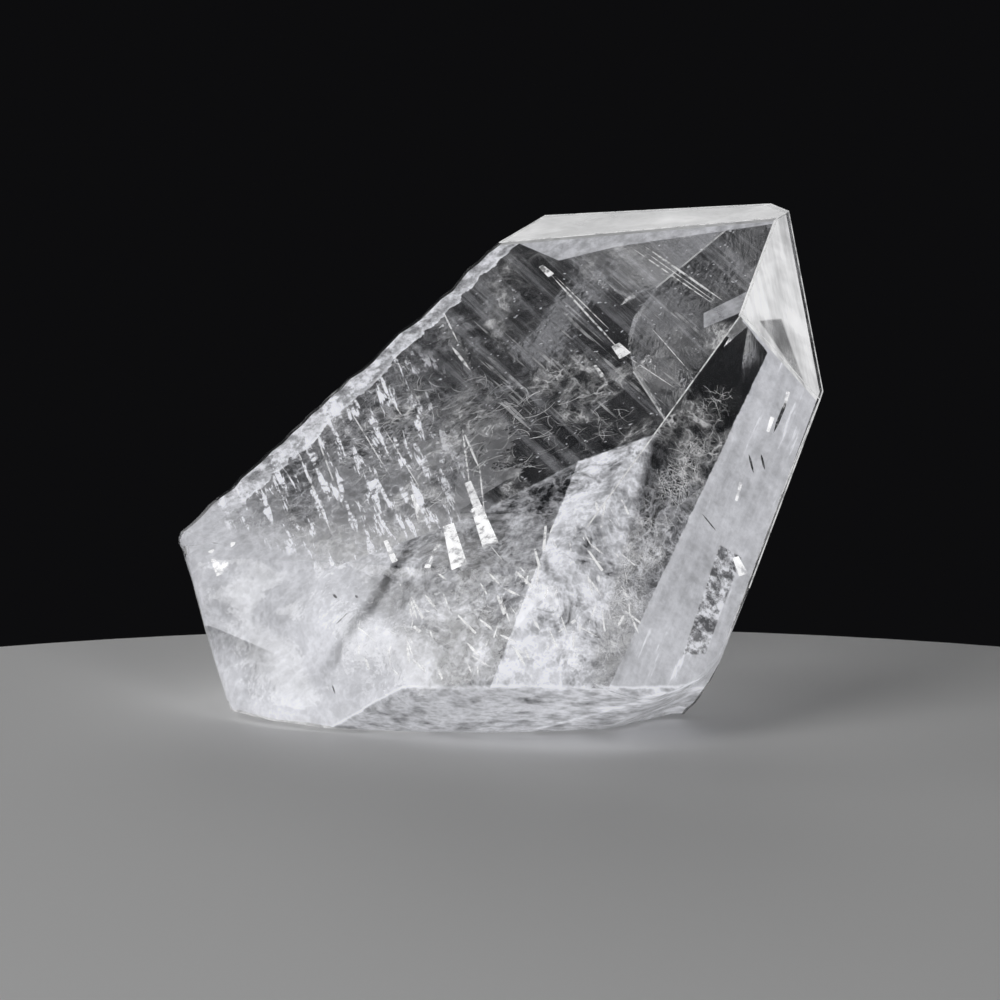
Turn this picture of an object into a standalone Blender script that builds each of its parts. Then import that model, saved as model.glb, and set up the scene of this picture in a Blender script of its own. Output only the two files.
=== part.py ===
"""Quartz crystal: one stubby clear point with a broken, milky foot.

The crystal lies on its broken underside with its tip up and to the right (+X), leaning away from
the viewer (+Y).  Metres, +Z up, origin at the middle of the footprint on the surface it rests on.
"""
import bpy
import bmesh
from math import cos, radians, sin
from mathutils import Vector, noise

MM = 0.001

# The heart of the crystal, the point from which every face is measured, in mm above the rest plane.
HEART_HEIGHT = 25.0
ROUGH_BLOCK = 200.0  # edge of the block that the faces are cut from

# Grown faces: (name, direction round Z from +X, tilt above the horizon, distance from the heart), in
# degrees and mm.  They stay truly flat.
GROWN_FACES = (
    ("upper_left_prism", -123.6, 56.6, 10.45),
    ("right_prism", -57.9, 29.8, 25.66),
    ("right_tip_face", -44.8, 35.7, 30.92),
    ("top_tip_face", -154.0, 77.8, 23.93),
    ("back_tip_face", 65.6, 20.3, 41.84),
    ("back_right_tip_face", 23.9, -8.0, 33.9),
    ("back_right_prism", 2.1, -25.7, 30.17),
    ("back_left_prism", 152.9, 34.6, 25.73),
    ("under_prism", 56.4, -56.6, 26.29),
)

# Broken faces, same numbers, then the height of the lumps on them in mm.
BROKEN_FACES = (
    ("left_foot", -123.0, 16.4, 27.8, 1.5),
    ("foot_shoulder", -121.0, 37.0, 18.0, 0.7),
    ("left_shoulder", -160.0, 32.0, 32.4, 0.8),
    ("front_foot", -93.7, 21.1, 29.7, 0.9),
    ("front_ledge", -90.0, -52.3, 37.4, 0.8),
    ("left_end", 173.1, 6.9, 39.1, 1.2),
    ("left_end_low", 172.6, -21.2, 39.6, 1.3),
    ("left_corner", -145.0, -52.7, 46.9, 0.6),
    ("right_corner", -19.1, -40.0, 37.1, 0.5),
    ("right_ledge", -39.8, -62.0, 34.9, 0.6),
    ("back_foot", 116.6, -15.6, 22.1, 1.5),
)

FACET_LENGTH = 3.0       # longest edge on a broken face
SHORTEST_EDGE = 0.05     # shorter ones are closed up
EDGE_WOBBLE = 0.9        # how far the chipped upper left edge strays from a straight line
LUMP_SIZE = 13.0         # width of the large lumps
RIPPLE_SIZE = 5.5        # width of the small ones
RIPPLE_SHARE = 0.28      # their height as a share of the large ones
CHIP_COUNT = 26          # flat flakes struck off the broken faces
CHIP_DEPTH = 0.9         # how deep the deepest flake goes
CHIP_LEAN = 0.9          # how far a flake's plane turns away from its face

# The flat spot it stands on: an oval on the underside, the rest of which curves up out of the way.
SPOT_CENTRE = Vector((-4.0, -9.0))
SPOT_HALF_LENGTH = 25.0
SPOT_HALF_WIDTH = 19.0
UNDERCUT = 1.2           # how far the rim of the underside lifts
UNDERCUT_REACH = 9.0     # the distance over which it does
UNDERCUT_UNEVEN = 0.5    # how uneven that lift is

WEAR = 0.5               # share of each point's unevenness that wears off in a round
WEAR_ROUNDS = 3
SEED = 11.3


def direction(azimuth, tilt):
    a, t = radians(azimuth), radians(tilt)
    return Vector((cos(a) * cos(t), sin(a) * cos(t), sin(t)))


def spread(index, salt):
    """A fixed number from 0 to 1 for each flake."""
    value = sin(index * 127.1 + salt * 311.7 + SEED) * 43758.5453
    return value - int(value) if value >= 0 else value - int(value) + 1


def cut_block(faces):
    """A block trimmed by one plane per face; each new face carries the index of its plane."""
    bm = bmesh.new()
    tag = bm.faces.layers.int.new("plane")
    bmesh.ops.create_cube(bm, size=ROUGH_BLOCK)
    for index, (normal, distance) in enumerate(faces, start=1):
        cut = bmesh.ops.bisect_plane(
            bm, geom=bm.verts[:] + bm.edges[:] + bm.faces[:], dist=0.0001,
            plane_co=normal * distance, plane_no=normal, clear_outer=True)
        rim = [g for g in cut["geom_cut"] if isinstance(g, bmesh.types.BMEdge)]
        if rim:
            for face in bmesh.ops.contextual_create(bm, geom=rim)["faces"]:
                face[tag] = index
    return bm, tag


def divide(bm, tag, rough, longest):
    """Splits the long edges of the broken faces until none is longer than asked."""
    bmesh.ops.triangulate(bm, faces=[f for f in bm.faces if f[tag] in rough])
    while True:
        long_edges = [
            e for e in bm.edges
            if e.calc_length() > longest and any(f[tag] in rough for f in e.link_faces)]
        if not long_edges:
            break
        bmesh.ops.subdivide_edges(bm, edges=long_edges, cuts=1)
        bmesh.ops.triangulate(
            bm, faces=[f for f in bm.faces if f[tag] in rough and len(f.verts) > 3])
        inner = [e for e in bm.edges if len({f[tag] for f in e.link_faces}) == 1
                 and e.link_faces[0][tag] in rough]
        fill = [f for f in bm.faces if f[tag] in rough]
        bmesh.ops.beautify_fill(bm, faces=fill, edges=inner, method="AREA")


def lump(point, height):
    """Outward bulge of a broken face at a point: large lumps, small ripples."""
    seat = Vector((SEED, -SEED, 2 * SEED))
    large = noise.noise(point / LUMP_SIZE + seat)
    small = noise.noise(point / RIPPLE_SIZE - seat)
    return height * (large + RIPPLE_SHARE * small)


def crystal_mesh(name):
    planes = [(direction(a, t), d) for _, a, t, d in GROWN_FACES]
    planes += [(direction(a, t), d) for _, a, t, d, _ in BROKEN_FACES]
    planes.append((Vector((0, 0, -1)), HEART_HEIGHT))
    bm, tag = cut_block(planes)
    first_rough = len(GROWN_FACES) + 1
    underside = len(planes)
    rough = set(range(first_rough, underside + 1))
    divide(bm, tag, rough, FACET_LENGTH)

    # The chipped upper left edge: the line between two grown faces strays inside the back one.
    back_left = 1 + [f[0] for f in GROWN_FACES].index("back_left_prism")
    upper_left = 1 + [f[0] for f in GROWN_FACES].index("upper_left_prism")
    chipped = [e for e in bm.edges if {f[tag] for f in e.link_faces} == {back_left, upper_left}]
    while max(e.calc_length() for e in chipped) > FACET_LENGTH:
        bmesh.ops.subdivide_edges(
            bm, edges=[e for e in chipped if e.calc_length() > FACET_LENGTH], cuts=1)
        chipped = [e for e in bm.edges
                   if {f[tag] for f in e.link_faces} == {back_left, upper_left}]

    rough_height = {first_rough + i: f[4] for i, f in enumerate(BROKEN_FACES)}
    flakes = []
    for i in range(CHIP_COUNT):
        home = first_rough + i % len(BROKEN_FACES)
        normal = planes[home - 1][0]
        lean = Vector((spread(i, 1) - 0.5, spread(i, 2) - 0.5, spread(i, 3) - 0.5)) * CHIP_LEAN
        flakes.append((home, (normal + lean).normalized(), spread(i, 4)))

    moves = {}
    for v in bm.verts:
        tags = {f[tag] for f in v.link_faces}
        broken = [t for t in tags if t in rough_height]
        if not broken:
            continue
        outward = sum((planes[t - 1][0] for t in broken), Vector()).normalized()
        height = sum(rough_height[t] for t in broken) / len(broken)
        moves[v] = outward * lump(v.co, height)

    # Each flake is a plane that takes the proudest points of its own face down to it.
    for home, normal, depth in flakes:
        near = [v for v in moves if home in {f[tag] for f in v.link_faces}]
        if not near:
            continue
        seat = near[int(spread(home, depth) * (len(near) - 1))].co
        top = max((v.co - seat).dot(normal) for v in near)
        level = min(top, CHIP_DEPTH * depth)
        for v in near:
            proud = (v.co + moves[v] - seat).dot(normal) - level
            if 0 < proud < 2 * CHIP_DEPTH:
                moves[v] = moves[v] - normal * proud

    # Points that also lie on a grown face, or on the rest plane, only slide along it.
    def slide(v, move):
        flat = [planes[t - 1][0] for t in {f[tag] for f in v.link_faces} if t not in rough_height]
        if len(flat) > 2:
            return Vector()
        if len(flat) == 2:
            along = flat[0].cross(flat[1]).normalized()
            return along * move.dot(along)
        return move - flat[0] * move.dot(flat[0]) if flat else move

    for v, move in moves.items():
        v.co += slide(v, move)

    # Wear rounds the broken faces and their edges a little.
    for _ in range(WEAR_ROUNDS):
        steps = {}
        for v in moves:
            ring = [e.other_vert(v).co for e in v.link_edges]
            steps[v] = slide(v, (sum(ring, Vector()) / len(ring) - v.co) * WEAR)
        for v, step in steps.items():
            v.co += step

    # The chipped edge slides inside the upper left face.
    inward = planes[upper_left - 1][0]
    line = inward.cross(planes[back_left - 1][0]).normalized()
    into_face = inward.cross(line).normalized()
    if into_face.dot(planes[back_left - 1][0]) > 0:
        into_face.negate()
    for v in {v for e in chipped for v in e.verts}:
        if len({f[tag] for f in v.link_faces}) == 2:
            stray = noise.noise(v.co / FACET_LENGTH) + noise.noise(v.co / LUMP_SIZE) / 2
            v.co += into_face * EDGE_WOBBLE * stray

    # The underside keeps its oval flat spot and lifts toward its rim; a rim point that also lies on
    # a grown face climbs along that face.
    for v in bm.verts:
        tags = {f[tag] for f in v.link_faces}
        grown = [planes[t - 1][0] for t in tags if t < first_rough]
        off = Vector((v.co.x, v.co.y)) - SPOT_CENTRE
        reach = Vector((off.x / SPOT_HALF_LENGTH, off.y / SPOT_HALF_WIDTH)).length
        beyond = max(0.0, reach - 1.0) * SPOT_HALF_WIDTH / UNDERCUT_REACH
        if underside in tags and beyond > 0 and len(grown) < 2:
            uneven = 1.0 + UNDERCUT_UNEVEN * noise.noise(v.co / RIPPLE_SIZE)
            lift = Vector((0, 0, min(1.0, beyond) * UNDERCUT * uneven))
            for normal in grown:
                lift -= normal * lift.dot(normal)
            v.co += lift

    bmesh.ops.dissolve_degenerate(bm, dist=SHORTEST_EDGE, edges=bm.edges[:])
    bmesh.ops.triangulate(bm, faces=bm.faces[:])
    bmesh.ops.recalc_face_normals(bm, faces=bm.faces[:])

    # Millimetres to metres, with the middle of the footprint as origin.
    low = Vector([min(v.co[i] for v in bm.verts) for i in range(3)])
    high = Vector([max(v.co[i] for v in bm.verts) for i in range(3)])
    footing = Vector(((low.x + high.x) / 2, (low.y + high.y) / 2, low.z))
    for v in bm.verts:
        v.co = (v.co - footing) * MM
    mesh = bpy.data.meshes.new(name)
    bm.to_mesh(mesh)
    bm.free()
    return mesh


for old in list(bpy.data.objects):
    bpy.data.objects.remove(old, do_unlink=True)

collection = bpy.data.collections.new("quartz_crystal_parts")
bpy.context.scene.collection.children.link(collection)

clear_quartz = bpy.data.materials.new("clear_quartz")
clear_quartz.use_nodes = True
shader = clear_quartz.node_tree.nodes["Principled BSDF"]
shader.inputs["Base Color"].default_value = (0.94, 0.95, 0.96, 1.0)
shader.inputs["Roughness"].default_value = 0.05
shader.inputs["Metallic"].default_value = 0.0
shader.inputs["IOR"].default_value = 1.544
shader.inputs["Transmission Weight"].default_value = 1.0

crystal = bpy.data.objects.new("quartz_crystal", crystal_mesh("quartz_crystal"))
crystal.data.materials.append(clear_quartz)
collection.objects.link(crystal)
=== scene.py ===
"""Quartz crystal: the looks of one clear point with a milky, broken foot.

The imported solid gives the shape.  Everything is in metres in its frame: +Z up, with the front seen
along +Y.
"""
import random
from math import cos, radians, sin

import bmesh
import bpy
from mathutils import Matrix, Vector
from mathutils.bvhtree import BVHTree


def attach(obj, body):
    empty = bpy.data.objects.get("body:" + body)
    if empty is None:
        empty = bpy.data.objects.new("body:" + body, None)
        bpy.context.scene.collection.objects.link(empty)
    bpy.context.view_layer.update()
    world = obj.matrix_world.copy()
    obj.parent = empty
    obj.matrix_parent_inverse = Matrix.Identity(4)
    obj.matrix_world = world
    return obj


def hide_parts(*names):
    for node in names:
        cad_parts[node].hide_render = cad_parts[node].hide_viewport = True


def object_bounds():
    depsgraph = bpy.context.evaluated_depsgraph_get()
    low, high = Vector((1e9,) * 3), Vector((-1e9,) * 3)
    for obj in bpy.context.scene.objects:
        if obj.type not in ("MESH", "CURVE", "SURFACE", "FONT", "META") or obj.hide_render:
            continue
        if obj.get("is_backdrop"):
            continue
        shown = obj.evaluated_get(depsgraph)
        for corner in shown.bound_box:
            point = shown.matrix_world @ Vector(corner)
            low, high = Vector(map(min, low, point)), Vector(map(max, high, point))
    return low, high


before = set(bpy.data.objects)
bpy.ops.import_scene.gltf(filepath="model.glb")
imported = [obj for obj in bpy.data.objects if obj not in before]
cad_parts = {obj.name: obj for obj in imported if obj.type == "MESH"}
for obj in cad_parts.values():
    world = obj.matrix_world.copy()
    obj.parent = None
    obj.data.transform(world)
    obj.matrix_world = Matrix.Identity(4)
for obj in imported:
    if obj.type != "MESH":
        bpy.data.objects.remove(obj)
cad_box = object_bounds()
scene = bpy.context.scene

# The clear body is one natural piece of rock crystal.  Its grown faces are flat and glossy; the broken foot
# is rounded and rippled like cracked ice and a little frosted.  Light goes straight through it.


class Field:
    """A value or colour that varies over a surface: arithmetic on it adds nodes to its material."""

    def __init__(self, tree, socket):
        self.tree = tree
        self.socket = socket

    def add(self, kind, settings=None, output=0, **inputs):
        """A new node: its settings first, then its inputs by name, or by number as i0, i1 and so on."""
        node = self.tree.nodes.new(kind)
        for name, value in (settings or {}).items():
            setattr(node, name, value)
        for name, value in inputs.items():
            numbered = name[0] == "i" and name[1:].isdigit()
            target = node.inputs[int(name[1:]) if numbered else name.replace("_", " ")]
            if isinstance(value, Field):
                self.tree.links.new(value.socket, target)
            else:
                target.default_value = value
        return Field(self.tree, node.outputs[output])

    def math(self, operation, first, second=0.0):
        return self.add("ShaderNodeMath", {"operation": operation}, i0=first, i1=second)

    def __add__(self, other):
        return self.math("ADD", self, other)

    def __radd__(self, other):
        return self.math("ADD", other, self)

    def __sub__(self, other):
        return self.math("SUBTRACT", self, other)

    def __rsub__(self, other):
        return self.math("SUBTRACT", other, self)

    def __mul__(self, other):
        return self.math("MULTIPLY", self, other)

    def __rmul__(self, other):
        return self.math("MULTIPLY", other, self)

    def __truediv__(self, other):
        return self.math("DIVIDE", self, other)

    def __pow__(self, other):
        return self.math("POWER", self, other)

    def __abs__(self):
        return self.math("ABSOLUTE", self)

    def least(self, other):
        return self.math("MINIMUM", self, other)

    def most(self, other):
        return self.math("MAXIMUM", self, other)

    def toward(self, direction):
        """How far this vector reaches along a direction."""
        return self.add("ShaderNodeVectorMath", {"operation": "DOT_PRODUCT"}, 1,
                        i0=self, i1=tuple(direction))

    def rise(self, low, high, start=0.0, end=1.0):
        """Smooth rise from start to end while this value goes from low to high."""
        return self.add("ShaderNodeMapRange", {"interpolation_type": "SMOOTHSTEP"},
                        i0=self, i1=low, i2=high, i3=start, i4=end)

    def stretched(self, *factors):
        return self.add("ShaderNodeVectorMath", {"operation": "MULTIPLY"}, i0=self, i1=tuple(factors))

    def beside(self, second, third=0.0):
        """A place made of this value and two more."""
        return self.add("ShaderNodeCombineXYZ", X=self, Y=second, Z=third)

    def cloud(self, size, detail=3.0, rough=0.6, warp=0.0):
        """Noise with lumps of a size, from 0 to 1."""
        return self.add("ShaderNodeTexNoise", Vector=self, Scale=1.0 / size, Detail=detail,
                        Roughness=rough, Distortion=warp)

    def threads(self, size, sharp, warp=0.0):
        """Thin bright threads, where a cloud passes its middle value."""
        return (1.0 - (abs(self.cloud(size, 3.0, 0.6, warp) - 0.5) * sharp).least(1.0)) ** 2.0

    def toned(self, first, second):
        """A colour between two, by this value."""
        return self.add("ShaderNodeMix", {"data_type": "RGBA"}, 2,
                        i0=self, i6=(*first, 1.0), i7=(*second, 1.0))

    def reach(self, shader, name):
        self.tree.links.new(self.socket, shader.inputs[name])


def direction(azimuth, tilt):
    """A face's direction: round Z from +X, and above the horizon."""
    a, t = radians(azimuth), radians(tilt)
    return Vector((cos(a) * cos(t), sin(a) * cos(t), sin(t)))


BIG_FACE = direction(-123.6, 56.6)
RIGHT_FACE = direction(-57.9, 29.8)
RIGHT_TIP_FACE = direction(-44.8, 35.7)
TOP_TIP_FACE = direction(-154.0, 77.8)
GROWN_FACES = (
    BIG_FACE, RIGHT_FACE, RIGHT_TIP_FACE, TOP_TIP_FACE, direction(65.6, 20.3), direction(23.9, -8.0),
    direction(2.1, -25.7), direction(152.9, 34.6), direction(56.4, -56.6))
SAME_FACE = 0.9999
SHARP_BREAK = radians(40)
CRYSTAL_IOR = 1.544
CRYSTAL_COLOUR = (0.94, 0.94, 0.96, 1.0)

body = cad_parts["quartz_crystal"].copy()
body.data = body.data.copy()
body.name = "clear_crystal"
scene.collection.objects.link(body)
bm = bmesh.new()
bm.from_mesh(body.data)
bmesh.ops.remove_doubles(bm, verts=bm.verts[:], dist=1e-6)
bm.normal_update()
grown = {}
for face in bm.faces:
    likeness = [face.normal.dot(grown_face) for grown_face in GROWN_FACES]
    nearest = likeness.index(max(likeness))
    grown[face] = nearest if likeness[nearest] > SAME_FACE else -1
    face.smooth = True
for edge in bm.edges:
    sides = [grown[face] for face in edge.link_faces]
    edge.smooth = sides[0] == sides[1] and (sides[0] >= 0 or edge.calc_face_angle(0) < SHARP_BREAK)
surface = BVHTree.FromBMesh(bm)
bm.to_mesh(body.data)
bm.free()

clear = bpy.data.materials.new("clear_quartz")
clear.use_nodes = True
tree = clear.node_tree
shader = tree.nodes["Principled BSDF"]
shader.inputs["Base Color"].default_value = CRYSTAL_COLOUR
shader.inputs["IOR"].default_value = CRYSTAL_IOR
shader.inputs["Transmission Weight"].default_value = 1.0
place = Field(tree, tree.nodes.new("ShaderNodeTexCoord").outputs["Object"])
normal = Field(tree, tree.nodes.new("ShaderNodeNewGeometry").outputs["Normal"])
glossy = normal.toward(BIG_FACE).most(normal.toward(RIGHT_FACE)).most(
    normal.toward(RIGHT_TIP_FACE)).most(normal.toward(TOP_TIP_FACE))
broken = 1.0 - glossy.rise(0.985, 0.999)
place.add("ShaderNodeBump", Strength=0.3, Distance=0.0004,
          Height=broken * place.cloud(0.0016, 2.0)).reach(shader, "Normal")
(broken * place.cloud(0.004, 1.0).rise(0.35, 0.75, 0.04, 0.22)).reach(shader, "Roughness")
body.data.materials.clear()
body.data.materials.append(clear)
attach(body, "root")
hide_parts("quartz_crystal")

# The milk of the crystal lies just under its skin: dense in the broken foot, in feathers and wisps up the
# big face, and in a white sheet beside a clear window on the right face.  One closed sheet follows the
# crystal's own shape, with a finish for the front, one for each tip face and one for the back.
# Every milky finish glows with painted light: its emission stands in for the light that the milk scatters.
HEART = Vector((0.001, 0.0, 0.0225))
SKIN_SCALE = 0.985
skin = body.copy()
skin.data = body.data.copy()
skin.name = "milk_skin"
scene.collection.objects.link(skin)
for v in skin.data.vertices:
    v.co = HEART + (v.co - HEART) * SKIN_SCALE
skin.data.materials.clear()

# The milk is placed by two distances in millimetres: across, from left to right, and up, which rises
# along the front as it is seen from a little above.
ACROSS = Vector((1.0, 0.0, 0.0))
UP = Vector((0.0, 0.1908, 0.9816))
FRONT = Vector((0.0, -0.9816, 0.1908))
ACROSS_START = -1.05
UP_START = 5.36
MM = 1000.0
DENSEST_MILK = 0.97
DARKEST = (0.02, 0.021, 0.023)
FRONT_ABSORBED = 0.12
BACK_ABSORBED = 0.22


def milky(name, painted_glow, white=(1.0, 1.0, 1.0)):
    """A milky material that glows with painted light, in place of the light its milk scatters: its place on
    the piece, and a function that gives it alpha and tone.
    """
    material = bpy.data.materials.new(name)
    material.use_nodes = True
    material.cycles.emission_sampling = "NONE"
    shader = material.node_tree.nodes["Principled BSDF"]
    shader.inputs["Roughness"].default_value = 0.7
    shader.inputs["Specular IOR Level"].default_value = 0.0
    shader.inputs["Emission Strength"].default_value = painted_glow
    place = Field(material.node_tree, material.node_tree.nodes.new("ShaderNodeTexCoord").outputs["Object"])

    def finish(alpha, tone, absorbed=0.0):
        """Absorbed is the share of the light that the crystal takes up where this skin has no milk."""
        milk = alpha.least(DENSEST_MILK)
        skin = milk + (1.0 - milk) * absorbed
        skin.reach(shader, "Alpha")
        tone = tone * milk / skin
        tone.toned(DARKEST, tuple(c * 0.5 for c in white)).reach(shader, "Base Color")
        # The emission colour is painted light: the milk glows by its tone.
        tone.toned(DARKEST, white).reach(shader, "Emission Color")
        return material

    return place, finish


def line(across, start, slope):
    """The height of a straight line at each place across: it starts at a point and has a slope."""
    return start[1] + (across - start[0]) * slope


def slanted(across, up, degrees, squeeze):
    """A place turned so that noise on it runs along a direction, squeezed along that run."""
    c, s = cos(radians(degrees)), sin(radians(degrees))
    return (across * s - up * c).beside((across * c + up * s) * squeeze)


place, finish = milky("front_milk", 0.70, (0.95, 0.957, 1.0))
across = place.toward(ACROSS * MM) + ACROSS_START
up = place.toward(UP * MM) + UP_START
soft = place.cloud(0.011, 3.0, 0.6, 0.5)
mid = place.cloud(0.005, 4.0, 0.62, 0.6)
fine = place.cloud(0.0020, 4.0, 0.72)
tiny = place.cloud(0.0007, 1.0)
coarse_threads = place.threads(0.0050, 11.0, 1.5)
fine_threads = place.threads(0.0021, 8.0)
feathers = slanted(across, up, -68, 0.24).cloud(1.3, 4.0, 0.66, 0.3)
growth = slanted(across, up, -43, 0.05).cloud(1.6, 3.0, 0.72)
bands = slanted(across, up, -44, 0.10).cloud(4.5, 3.0, 0.55, 0.2)
streaks = slanted(across, up, 69, 0.12).cloud(1.3, 4.0, 0.66)

# Where the parts of the front meet: the milk's shore, its bright seam, the clear window on the right,
# the blocky flaw beside it, the bright rim at the upper left, which is a painted highlight along the
# silhouette, and the broken band at the foot, with a painted highlight along its top edge.
shore = line(across, (-4.45, 27.0), 0.519).most(line(across, (-4.45, 27.0), 0.364)).least(
    line(across, (8.55, 33.75), 0.363))
low = (shore - up + (fine - 0.5) * 0.5).rise(-0.05, 0.25)
far_left = (line(across, (-21.2, 20.9), -0.55) - up + (mid - 0.5) * 9.0).rise(-2.0, 3.5) * (
    across * -1.0 - 20.0).rise(0.0, 3.0)
low = low.most(far_left)
beside_seam = across - line(up, (33.75, 8.55), 0.391) + (fine - 0.5) * 0.3
seam = beside_seam.rise(-0.1, 0.15)
window_left = line(up, (52.4, 29.05), 0.7277).most(line(up, (0.0, 8.3), 0.25))
in_window = (across - window_left + (mid - 0.5) * 3.0).rise(-1.0, 1.0)
window_right = line(up, (28.1, 22.9), 0.48).least(line(up, (52.1, 28.4), -0.774)).most(
    line(up, (52.2, 29.3), 0.376))
strip = (across - window_right + (fine - 0.5) * 0.6).rise(-0.08, 0.15)
flaw = (across - line(up, (23.4, 26.05), 0.342)).rise(-0.1, 0.15) * (
    line(up, (21.9, 28.8), 0.378) - across).rise(-0.1, 0.15)
flaw = flaw * (line(across, (26.05, 23.4), -0.55) - up).rise(-0.1, 0.2) * (up - 9.8).rise(-0.1, 0.2)
# The rim is a painted highlight: a bright band, with a brighter line, along the upper-left silhouette.
edge = up - line(across, (-25.7, 35.3), 0.962).most(line(across, (-25.7, 35.3), 0.87)) + (mid - 0.5) * 4.0
rim_highlight = edge.rise(-0.06, 0.1)
rim_highlight_line = rim_highlight * edge.rise(0.9, 0.3)
band_top = 5.9 + (soft - 0.5) * 1.5 - (across * -0.533 - 6.9).most(0.0)
band = (band_top - up).rise(-0.08, 0.12)
# A thin painted highlight along the top edge of the band.
band_edge_highlight = (1.0 - (abs(band_top - up) * 3.5).least(1.0)) * 0.35

# The upper window is almost clear, with slanting growth lines, wisps and dust, and feathers at its left.
left = (across + (up - 30.0) * 0.30 + (soft - 0.5) * 12.0).rise(3.0, -22.0)
wisps = soft.rise(0.52, 0.74) * (coarse_threads * 0.25 + fine_threads * 0.5 + fine.rise(0.45, 0.75) * 0.4)
dust = tiny.rise(0.68, 0.76) * mid.rise(0.40, 0.55)
haze = 0.02 + growth.rise(0.46, 0.72) * bands * 0.42 + bands.rise(0.48, 0.7) * 0.07
haze = haze + wisps * 0.5 + dust * 0.6 + left * 0.05
flecks = feathers.rise(0.52, 0.60) * fine.rise(0.38, 0.55, 0.15, 1.0)
feathered = left.rise(0.0, 0.7) * (flecks + fine_threads * 0.35 + coarse_threads * 0.2)
wedge = up - line(across, (0.1, 61.75), -0.447).most(
    line(across, (6.25, 59.0), 0.24).least(line(across, (13.55, 60.75), 0.142)))
glint = (up - line(across, (25.8, 51.0), 0.42)).rise(-0.05, 0.1) * (
    line(across, (24.5, 52.4), 0.5) - up).rise(-0.05, 0.1) * (across - 24.3).rise(-0.1, 0.1)
upper = haze.most(feathered).most(wedge.rise(-0.05, 0.1) * 0.66).most(glint * 0.5).most(
    rim_highlight * (0.50 + fine.rise(0.35, 0.6) * 0.45)).most(rim_highlight_line * 0.95)

# The milk below the shore, the threads that climb the window, and the white strip beside it.
clouds = soft.rise(0.32, 0.62) * 0.45 + mid.rise(0.35, 0.65) * 0.45 + fine.rise(0.35, 0.7) * 0.25
smooth = (across * -1.0 - (up - 16.0) * 0.55 - 14.0 + (mid - 0.5) * 3.0).rise(-3.0, 4.0)
milk = (0.40 + clouds * 0.55 + seam * 0.25).most(smooth * 0.93).most(band * 0.9)
climb = (up + (soft - 0.5) * 12.0).rise(44.0, 10.0)
tangle = coarse_threads.most(fine_threads * 0.7) * 0.55 + fine.rise(0.52, 0.8) * 0.5
tangle = tangle * climb.rise(0.0, 0.6) + climb * climb * 0.10
inner = upper + (milk - upper) * low
inner = inner + (tangle - inner) * in_window
strip_alpha = 0.94 - flaw * fine.rise(0.6, 0.4) * 0.35
alpha = (inner + (strip_alpha - inner) * strip).most(band * 0.88)

tone_upper = (0.5 + fine.rise(0.3, 0.7) * 0.5 + flecks * left * 0.8).most(
    rim_highlight * (0.08 + fine.rise(0.38, 0.62) * 0.7 + rim_highlight_line * 0.3))
cracks = coarse_threads * soft.rise(0.6, 0.4)
tone_milk = 0.14 + clouds * 0.50 + fine_threads * 0.28 + (fine - 0.5) * 0.9 - cracks * 0.3
tone_seam = 0.34 + mid.rise(0.3, 0.6) * 0.40 + (fine - 0.5) * 1.2 - cracks * 0.45 + fine_threads * 0.3
tone_milk = tone_milk - beside_seam.rise(-5.0, -0.2) * 0.16
tone_seam = tone_seam + beside_seam.rise(4.0, 0.0) * 0.16
tone_milk = tone_milk + (tone_seam - tone_milk) * seam
# Painted shade along a soft fold in the milk: darker in a band beside a slanting line, fading out toward
# the bottom.
fold_shade = (across + 10.95) - (up - 25.0) * 0.675 + (mid - 0.5) * 1.5
tone_smooth = 0.80 - up * 0.008 + (soft - 0.5) * 0.5 + (fine - 0.5) * 0.45
tone_smooth = tone_smooth + (mid - 0.5) * 0.4 + fine_threads * 0.12
tone_milk = tone_milk + (tone_smooth - tone_milk) * smooth
tone_milk = tone_milk - fold_shade.rise(-1.8, -0.1) * fold_shade.rise(1.6, 0.0) * (up - 4.0).rise(0.0, 14.0) * 0.5
chip = line(across, (-36.45, 13.1), -0.427) - up
chip = chip.rise(-0.05, 0.15) * chip.rise(4.5, 0.3) * across.rise(-28.2, -31.5)
tone_milk = tone_milk - chip * 0.32
tone_strip = 0.66 + (streaks - 0.5) * 0.5 + (soft - 0.5) * 0.4 + (fine - 0.5) * 0.6
tone_strip = tone_strip + streaks.rise(0.62, 0.7) * 0.3
tone_strip = tone_strip + (fine.rise(0.40, 0.60) * 0.75 + 0.20 - tone_strip) * flaw
dashes = place.stretched(0.45, 1.0, 1.0).cloud(0.0013, 3.0)
# A painted highlight along a ridge in the band, with painted shade just below it.
ridge = line(across, (1.2, 0.3), 0.277).least(line(across, (16.7, 4.6), 0.186)) + (soft - 0.5) * 1.0 - up
ridge_highlight_and_shade = (1.0 - (abs(ridge) * 4.0).least(1.0)) * 0.3 - ridge.rise(-0.1, 0.4) * 0.14
tone_band = 0.62 + ridge_highlight_and_shade + (dashes - 0.5) * 1.9 + (fine - 0.5) * 0.6 + across * 0.004
tone_band = tone_band - dashes.rise(0.55, 0.66) * across.rise(10.0, -2.0) * 0.4
tone = tone_upper + (tone_milk - tone_upper) * low
tone = tone + (tone_strip - tone) * strip
tone = tone + (tone_band - tone) * band + band_edge_highlight + (tiny - 0.5) * 0.18
front = finish(alpha, tone, FRONT_ABSORBED)

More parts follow.
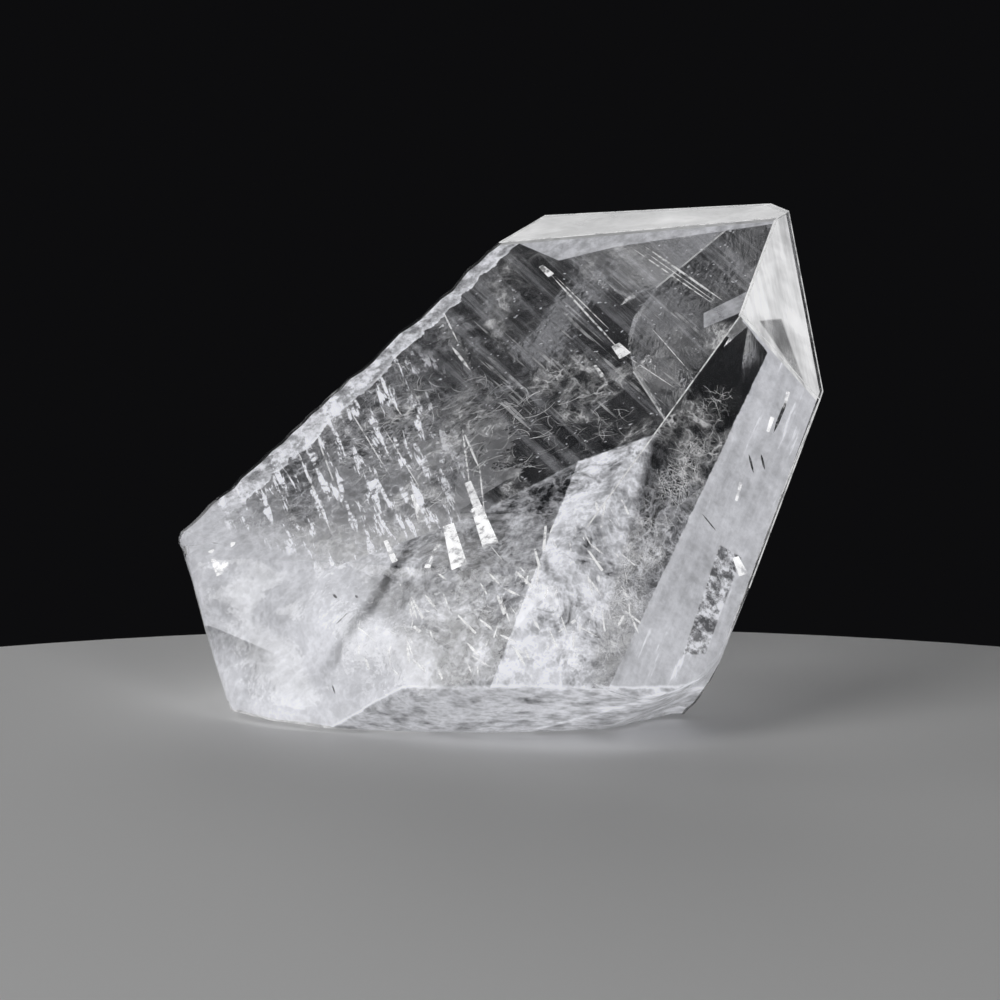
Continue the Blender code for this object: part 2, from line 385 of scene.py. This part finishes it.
# Tip faces carry a light frost with faint streaks: steep on the right one, which has a hollow low down with
# thinner frost and painted shade, and along it on the top one.
frosts = []
for name, degrees, squeeze, cover, painted_glow in (
        ("right_tip_frost", -78, 0.10, 0.72, 0.90), ("top_tip_frost", 5, 0.12, 0.50, 0.46)):
    place, finish = milky(name, painted_glow)
    across = place.toward(ACROSS * MM) + ACROSS_START
    up = place.toward(UP * MM) + UP_START
    soft = place.cloud(0.009, 3.0, 0.6, 0.8)
    streaks = slanted(across, up, degrees, squeeze).cloud(1.6, 4.0, 0.65)
    # The hollow has thinner frost, and its darker tone is painted shade.
    shaded_hollow = (line(across, (31.0, 51.3), 0.1) - up).rise(-0.1, 0.2)
    shaded_hollow = shaded_hollow * (up - line(across, (31.0, 51.3), -1.45)).rise(-0.1, 0.4)
    shaded_hollow = shaded_hollow * (line(up, (51.0, 34.1), -0.35) - across).rise(-0.1, 0.2)
    alpha = cover + soft.rise(0.3, 0.7) * 0.28 + (streaks - 0.5) * 0.7 - shaded_hollow * 0.35
    tone = 0.74 + (streaks - 0.5) * 0.8 + (soft - 0.5) * 0.4 - shaded_hollow * 0.25
    frosts.append(finish(alpha, tone, FRONT_ABSORBED))

# The back and underside are clear, with thin veils and a milky hem at the foot.
place, finish = milky("back_veils", 0.55)
soft = place.cloud(0.010, 3.0, 0.6, 0.5)
fine = place.cloud(0.0022, 4.0, 0.7)
fine_threads = place.threads(0.0024, 8.0)
coarse_threads = place.threads(0.0060, 11.0, 1.5)
hem = place.toward(Vector((0.3, 0.0, 1.0)) * MM) + (soft - 0.5) * 14.0 + (fine - 0.5) * 2.0
hem = hem.rise(8.0, -2.0)
wisps = (coarse_threads * 0.5 + fine_threads * 0.35 + fine.rise(0.5, 0.75) * 0.35) * soft.rise(0.5, 0.68)
alpha = (hem * (0.80 + (fine - 0.5) * 0.4)).most(wisps * 0.85)
tone = 0.60 + (soft - 0.5) * 0.8 + (fine - 0.5) * 0.4 + fine_threads * 0.35 + coarse_threads * 0.3
back = finish(alpha, tone, BACK_ABSORBED)

TURNED_TO_FRONT = 0.03
NEARLY_SAME_FACE = 0.999
FRONT_SLOT, RIGHT_TIP_SLOT, TOP_TIP_SLOT, BACK_SLOT = range(4)
for material in (front, *frosts, back):
    skin.data.materials.append(material)
for polygon in skin.data.polygons:
    n = polygon.normal
    polygon.material_index = FRONT_SLOT if n.dot(FRONT) > TURNED_TO_FRONT else BACK_SLOT
    for slot, tip_face in ((RIGHT_TIP_SLOT, RIGHT_TIP_FACE), (TOP_TIP_SLOT, TOP_TIP_FACE)):
        if n.dot(tip_face) > NEARLY_SAME_FACE:
            polygon.material_index = slot
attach(skin, "root")

# Splinters, blades and growth lines inside: thin slivers close under the faces, whose brightness is painted
# light from their glow.
# Each runs between two points across and up the front, in millimetres, with a width and a depth.
GROWTH_LINES = (
    (15.1, 61.0, 25.7, 53.5, 0.22, 0.5), (16.7, 61.2, 26.9, 53.9, 0.34, 0.5),
    (15.8, 61.2, 26.2, 53.6, 0.14, 0.5), (4.7, 58.0, 14.2, 47.4, 0.30, 0.5),
    (14.2, 47.4, 20.9, 42.9, 0.16, 0.5), (5.6, 57.4, 12.6, 50.4, 0.16, 0.5),
    (-9.7, 54.1, -4.9, 45.4, 0.45, 0.5), (-9.0, 54.1, -6.4, 48.8, 0.25, 0.5),
    (-17.5, 47.0, -13.0, 39.0, 0.2, 0.5), (-27.0, 36.4, -22.0, 24.6, 0.35, 0.5),
    (-24.5, 38.0, -20.6, 28.0, 0.25, 0.5), (17.6, 50.8, 22.4, 45.2, 0.14, 0.5),
    (-20.6, 41.4, -14.8, 32.0, 0.22, 0.6), (-16.0, 38.6, -11.0, 30.4, 0.2, 0.6),
    (-6.0, 38.2, -5.0, 30.8, 0.30, 1.0), (-6.0, 38.2, -3.8, 33.2, 0.35, 1.0),
    (-3.9, 34.0, -3.2, 27.6, 0.25, 1.0), (-12.2, 31.4, -11.6, 27.0, 0.3, 0.8),
    (-12.0, 31.0, -10.0, 26.8, 0.25, 0.8))
BLADES = (
    (-5.3, 31.6, -3.6, 27.2, 1.1, 1.0), (-4.1, 28.2, -2.3, 23.4, 1.9, 0.12),
    (-7.6, 26.0, -6.2, 20.8, 1.9, 0.12), (-12.1, 30.0, -11.0, 26.6, 0.8, 0.8),
    (13.2, 48.6, 14.4, 47.2, 1.5, 0.5), (28.2, 22.0, 29.2, 19.8, 1.4, 0.4),
    (34.3, 40.6, 34.9, 42.6, 0.45, 0.3), (32.3, 37.6, 32.9, 39.4, 0.5, 0.3),
    (28.3, 29.0, 28.9, 31.2, 0.4, 0.3), (-37.2, 22.8, -36.0, 19.8, 1.0, 0.12),
    (-34.4, 23.8, -35.6, 20.6, 0.8, 0.12), (-15.4, 24.0, -14.2, 21.4, 0.7, 0.12),
    (3.9, 58.6, 5.2, 57.4, 0.8, 0.5), (10.6, 46.0, 11.6, 44.6, 0.5, 0.5),
    (-8.8, 23.6, -10.2, 20.6, 0.8, 0.12))
DARK_FLAWS = (
    (33.0, 37.4, 34.8, 41.8, 0.5, 0.3), (29.9, 34.8, 30.5, 32.4, 0.35, 0.3),
    (31.4, 34.9, 31.9, 32.8, 0.35, 0.3), (-22.0, 17.4, -21.4, 16.9, 0.35, 0.3),
    (-19.2, 17.3, -18.8, 16.9, 0.3, 0.3), (-19.4, 15.8, -21.6, 13.6, 0.2, 0.3),
    (-22.1, 6.2, -21.7, 5.0, 0.2, 0.3), (24.0, 27.4, 25.8, 25.2, 0.2, 0.3),
    (-3.6, 23.8, 4.4, 20.9, 0.3, 0.4))
CLEAR_OF_FRONT = 0.2


def under_front(across, up, depth):
    """The point across and up the front, at a depth under its surface, and the way the surface faces."""
    level = Vector(((across - ACROSS_START) / MM, 0.0, 0.0)) + UP * (up - UP_START) / MM
    spot, facing, _, _ = surface.ray_cast(level + FRONT * CLEAR_OF_FRONT, -FRONT)
    if spot is None:
        spot, facing, _, _ = surface.find_nearest(level)
    return spot - facing * depth / MM, facing


def add_sliver(bm, mark, blunt):
    """A flat splinter: it tapers to both ends, or with blunt set is a blade with cut ends."""
    x0, up0, x1, up1, width, depth = mark
    start, facing = under_front(x0, up0, depth)
    end, _ = under_front(x1, up1, depth)
    run = end - start
    side = run.cross(facing).normalized() * width / MM / 2
    lift = facing * min(width, 0.3) / MM / 3
    turn = Matrix((side, lift, run / 2)).transposed().to_4x4()
    turn.translation = (start + end) / 2
    if blunt:
        bmesh.ops.create_cone(bm, cap_ends=True, segments=4, radius1=0.75, radius2=1.1, depth=2.0,
                              matrix=turn)
    else:
        bmesh.ops.create_icosphere(bm, subdivisions=1, radius=1.0, matrix=turn)


def inner_piece(name, bm, material):
    """A finished piece inside the crystal from the mesh built so far."""
    bmesh.ops.recalc_face_normals(bm, faces=bm.faces[:])
    piece = bpy.data.objects.new(name, bpy.data.meshes.new(name))
    bm.to_mesh(piece.data)
    bm.free()
    piece.data.materials.append(material)
    scene.collection.objects.link(piece)
    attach(piece, "root")


place, finish = milky("bright_line", 0.75)
grain = place.cloud(0.0011, 3.0)
bright = finish(grain.rise(0.38, 0.56, 0.08, 0.95), 0.78 + (grain - 0.5) * 0.6)
place, finish = milky("white_blade", 1.0)
grain = place.cloud(0.0014, 3.0)
white = finish(grain.rise(0.36, 0.52, 0.15, 0.95), 0.80 + (grain - 0.5) * 1.2)
place, finish = milky("faint_line", 0.5)
grain = place.cloud(0.0030, 2.0)
faint = finish(grain.rise(0.38, 0.7, 0.02, 0.42), 0.7 + (grain - 0.5) * 0.4)
place, finish = milky("dark_flaw", 0.3)
grain = place.cloud(0.0006, 2.0)
dark = finish(grain.rise(0.3, 0.5, 0.2, 0.85), grain.rise(0.5, 0.8, 0.05, 0.5))

bm = bmesh.new()
for mark in GROWTH_LINES:
    add_sliver(bm, mark, False)
inner_piece("growth_lines", bm, bright)
bm = bmesh.new()
for mark in BLADES:
    add_sliver(bm, mark, True)
inner_piece("bright_blades", bm, white)
bm = bmesh.new()
for mark in DARK_FLAWS:
    add_sliver(bm, mark, False)
inner_piece("dark_flaws", bm, dark)

# Small shards and cracks in the milk below its shore break it up like crushed ice.
SHARD_COUNT = 110
dice = random.Random(11)
bm = bmesh.new()
for i in range(SHARD_COUNT):
    x0 = dice.uniform(-19, 15)
    up0 = 25.5 + x0 * 0.43 - dice.uniform(0.5, 17.0)
    if up0 < 8.0:
        continue
    lean = dice.gauss(-1.15, 0.5)
    length = dice.uniform(0.8, 3.2)
    x1 = x0 + length * cos(lean)
    up1 = up0 + length * sin(lean)
    add_sliver(bm, (x0, up0, x1, up1, dice.uniform(0.08, 0.45), 0.08), i % 3 == 0)
inner_piece("milk_shards", bm, bright)

# Faint growth lines run down to the right under the upper half of the big face.
FAINT_COUNT = 34
dice = random.Random(7)
bm = bmesh.new()
for _ in range(FAINT_COUNT):
    x0 = dice.uniform(-6, 22)
    up0 = dice.uniform(40, 58)
    length = dice.uniform(4, 12)
    x1 = x0 + 0.74 * length
    up1 = up0 - 0.67 * length
    add_sliver(bm, (x0, up0, x1, up1, dice.uniform(0.1, 0.5), 0.6), False)
inner_piece("faint_growth_lines", bm, faint)

# The edges between the grown faces are a little worn, so each shows as a fine frosted line, which also
# glows as a painted edge highlight: a thin bead laid along every such edge, just inside the surface.
BEAD_RADIUS = 0.00009
BEAD_SCALE = 0.998
SHARPEST_UNWORN = radians(6)
bm = bmesh.new()
bm.from_mesh(body.data)
bm.normal_update()
beads = []
for edge in bm.edges:
    flat = all(max(face.normal.dot(n) for n in GROWN_FACES) > SAME_FACE for face in edge.link_faces)
    if flat and edge.calc_face_angle(0) > SHARPEST_UNWORN:
        beads.append([HEART + (vertex.co - HEART) * BEAD_SCALE for vertex in edge.verts])
bm.free()
bm = bmesh.new()
for start, end in beads:
    run = end - start
    turn = run.to_track_quat("Z", "Y").to_matrix().to_4x4()
    turn.translation = (start + end) / 2
    bmesh.ops.create_cone(bm, cap_ends=True, segments=6, radius1=BEAD_RADIUS, radius2=BEAD_RADIUS,
                          depth=run.length, matrix=turn)
place, finish = milky("worn_glinting_edge", 0.6)
grain = place.cloud(0.0016, 3.0)
inner_piece("worn_glinting_edges", bm, finish(grain.rise(0.35, 0.6, 0.25, 0.95), 0.8 + (grain - 0.5) * 0.6))

# Hair-fine threads of healed cracks grow up into the clear window on the right, and a thin web of them
# hangs over the milk's shore in the big face.  Each patch is scattered over a sheet a little inside.
THREAD_SEED = 5
ANY_TURN = 3.14


def hair_tree(name, hair):
    """Scatter curved hairs over a patch: inputs for how many, long and thick, and how far they turn."""
    tree = bpy.data.node_groups.new(name, "GeometryNodeTree")
    face = tree.interface
    face.new_socket("Geometry", in_out="INPUT", socket_type="NodeSocketGeometry")
    for label in ("Density", "Length", "Radius", "Turn"):
        face.new_socket(label, in_out="INPUT", socket_type="NodeSocketFloat")
    face.new_socket("Geometry", in_out="OUTPUT", socket_type="NodeSocketGeometry")

    def node(kind, settings=None, **inputs):
        made = tree.nodes.new(kind)
        for key, value in (settings or {}).items():
            setattr(made, key, value)
        for key, value in inputs.items():
            numbered = key[0] == "i" and key[1:].isdigit()
            target = made.inputs[int(key[1:]) if numbered else key.replace("_", " ")]
            if isinstance(value, bpy.types.NodeSocket):
                tree.links.new(value, target)
            else:
                target.default_value = value
        return made

    given = node("NodeGroupInput").outputs
    scatter = node("GeometryNodeDistributePointsOnFaces", Mesh=given["Geometry"], Density=given["Density"],
                   Seed=THREAD_SEED)
    half = node("ShaderNodeMath", {"operation": "MULTIPLY"}, i0=given["Length"], i1=0.5).outputs[0]
    back = node("ShaderNodeMath", {"operation": "MULTIPLY"}, i0=given["Length"], i1=-0.5).outputs[0]
    bow = node("ShaderNodeMath", {"operation": "MULTIPLY"}, i0=given["Length"], i1=0.22).outputs[0]
    arc = node("GeometryNodeCurveQuadraticBezier", Resolution=5,
               Start=node("ShaderNodeCombineXYZ", X=back).outputs[0],
               Middle=node("ShaderNodeCombineXYZ", Y=bow).outputs[0],
               End=node("ShaderNodeCombineXYZ", X=half).outputs[0])
    ring = node("GeometryNodeCurvePrimitiveCircle", Resolution=3, Radius=given["Radius"])
    thread = node("GeometryNodeCurveToMesh", Curve=arc.outputs[0], Profile_Curve=ring.outputs[0])
    thread.inputs["Fill Caps"].default_value = True
    against = node("ShaderNodeMath", {"operation": "MULTIPLY"}, i0=given["Turn"], i1=-1.0).outputs[0]
    low = node("ShaderNodeCombineXYZ", X=-0.3, Y=-0.3, Z=against).outputs[0]
    high = node("ShaderNodeCombineXYZ", X=0.3, Y=0.3, Z=given["Turn"]).outputs[0]
    spin = node("FunctionNodeRandomValue", {"data_type": "FLOAT_VECTOR"}, i0=low, i1=high,
                Seed=THREAD_SEED + 1)
    size = node("FunctionNodeRandomValue", i2=0.4, i3=1.5, Seed=THREAD_SEED + 2)
    turned = node("FunctionNodeRotateRotation", {"rotation_space": "LOCAL"},
                  Rotation=scatter.outputs["Rotation"],
                  Rotate_By=node("FunctionNodeEulerToRotation", Euler=spin.outputs[0]).outputs[0])
    spread = node("GeometryNodeInstanceOnPoints", Points=scatter.outputs["Points"],
                  Instance=thread.outputs[0], Rotation=turned.outputs[0], Scale=size.outputs[1])
    real = node("GeometryNodeRealizeInstances", Geometry=spread.outputs[0])
    coated = node("GeometryNodeSetMaterial", Geometry=real.outputs[0], Material=hair)
    node("NodeGroupOutput", Geometry=coated.outputs[0])
    return tree


def scatter_hairs(name, outline, depth, tree, **sizes):
    """A piece of hairs over the patch inside an outline of points across and up the front."""
    corners = [under_front(x, u, depth)[0] for x, u in outline]
    patch = bpy.data.meshes.new(name + "_patch")
    patch.from_pydata(corners, [], [tuple(range(len(corners)))])
    holder = bpy.data.objects.new(name + "_patch", patch)
    scene.collection.objects.link(holder)
    modifier = holder.modifiers.new("hairs", "NODES")
    modifier.node_group = tree
    for item in tree.interface.items_tree:
        if item.in_out == "INPUT" and item.name in sizes:
            modifier[item.identifier] = sizes[item.name]
    done = holder.evaluated_get(bpy.context.evaluated_depsgraph_get())
    mesh = bpy.data.meshes.new_from_object(done)
    mesh.name = name
    bpy.data.objects.remove(holder)
    piece = bpy.data.objects.new(name, mesh)
    scene.collection.objects.link(piece)
    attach(piece, "root")


place, finish = milky("healed_thread", 0.95)
grain = place.cloud(0.0030, 2.0)
hair = finish(grain.rise(0.3, 0.65, 0.12, 0.75), 0.75 + (grain - 0.5) * 0.5)
hairs = hair_tree("hair_scatter", hair)
scatter_hairs(
    "window_threads", ((21.5, 36.0), (25.5, 36.5), (20.5, 26.0), (13.5, 10.5), (10.5, 10.0), (14.0, 24.0)),
    1.3, hairs, Density=6.0e6, Length=0.0017, Radius=0.000016, Turn=ANY_TURN)
scatter_hairs(
    "window_wisps", ((24.5, 43.0), (29.0, 43.5), (24.5, 35.0), (21.0, 33.0)),
    1.3, hairs, Density=2.6e6, Length=0.0012, Radius=0.000014, Turn=ANY_TURN)
scatter_hairs(
    "shore_wisps", ((-14.0, 47.0), (16.0, 40.0), (12.0, 36.5), (-6.0, 29.0), (-18.0, 27.5), (-22.0, 33.0)),
    1.0, hairs, Density=0.45e6, Length=0.0022, Radius=0.00002, Turn=ANY_TURN)

# The floor is a plain pale round table top.  It ends close behind the crystal, so that the clear
# windows look through to the dark.
FLOOR_RADIUS = 0.17
FLOOR_THICKNESS = 0.004
FLOOR_FORWARD = 0.13
UNDER_CRYSTAL = 0.0002
floor_bm = bmesh.new()
bmesh.ops.create_cone(floor_bm, cap_ends=True, segments=128, radius1=FLOOR_RADIUS, radius2=FLOOR_RADIUS,
                      depth=FLOOR_THICKNESS)
bmesh.ops.translate(floor_bm, verts=floor_bm.verts[:],
                    vec=(0.0, -FLOOR_FORWARD, -FLOOR_THICKNESS / 2 - UNDER_CRYSTAL))
floor = bpy.data.objects.new("floor", bpy.data.meshes.new("floor"))
floor_bm.to_mesh(floor.data)
floor_bm.free()
scene.collection.objects.link(floor)
pale = bpy.data.materials.new("pale_floor")
pale.use_nodes = True
shader = pale.node_tree.nodes["Principled BSDF"]
shader.inputs["Base Color"].default_value = (0.75, 0.75, 0.75, 1.0)
shader.inputs["Roughness"].default_value = 0.6
floor.data.materials.append(pale)
floor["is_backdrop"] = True

# The light comes from softboxes in a dark studio, all turned to the crystal: name, place, width,
# height and watts.
LIGHTS = (
    ("back_softbox", (0.05, 0.75, 0.30), 0.5, 0.22, 0.5),
    ("key_softbox", (-0.55, -0.40, 0.45), 0.55, 0.50, 2.4),
    ("fill_softbox", (0.30, -0.75, 0.25), 0.25, 0.35, 1.2),
    ("rear_softbox", (-0.65, 0.55, 0.45), 0.45, 0.30, 0.7))
CRYSTAL_MIDDLE = Vector((0.0, 0.0, 0.03))
scene.world = bpy.data.worlds.new("studio")
scene.world.use_nodes = True
scene.world.node_tree.nodes["Background"].inputs[0].default_value = (0.004, 0.004, 0.0045, 1.0)
for name, spot, width, height, watts in LIGHTS:
    light = bpy.data.lights.new(name, "AREA")
    light.shape = "RECTANGLE"
    light.size, light.size_y = width, height
    light.energy = watts
    lamp = bpy.data.objects.new(name, light)
    lamp.location = spot
    lamp.rotation_euler = (CRYSTAL_MIDDLE - lamp.location).to_track_quat("-Z", "Y").to_euler()
    scene.collection.objects.link(lamp)

# The camera looks from the front, a little above, through a long lens: the picture is 0.125 m wide.
LENS = 800.0
SENSOR = 36.0
PICTURE_WIDTH = 0.125
lens = bpy.data.cameras.new("camera")
lens.lens = LENS
lens.sensor_width = SENSOR
lens.clip_start, lens.clip_end = 0.01, 20.0
camera = bpy.data.objects.new("camera", lens)
aim = Vector((-0.0001, 0.0, 0.0241))
camera.location = aim + FRONT * PICTURE_WIDTH * LENS / SENSOR
camera.rotation_euler = (-FRONT).to_track_quat("-Z", "Y").to_euler()
scene.collection.objects.link(camera)
scene.camera = camera
scene.view_settings.view_transform = "Standard"
scene.cycles.max_bounces = 8
scene.cycles.transmission_bounces = 7
scene.cycles.diffuse_bounces = 2
scene.cycles.transparent_max_bounces = 6

[[list(corner) for corner in box] for box in (cad_box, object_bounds())]
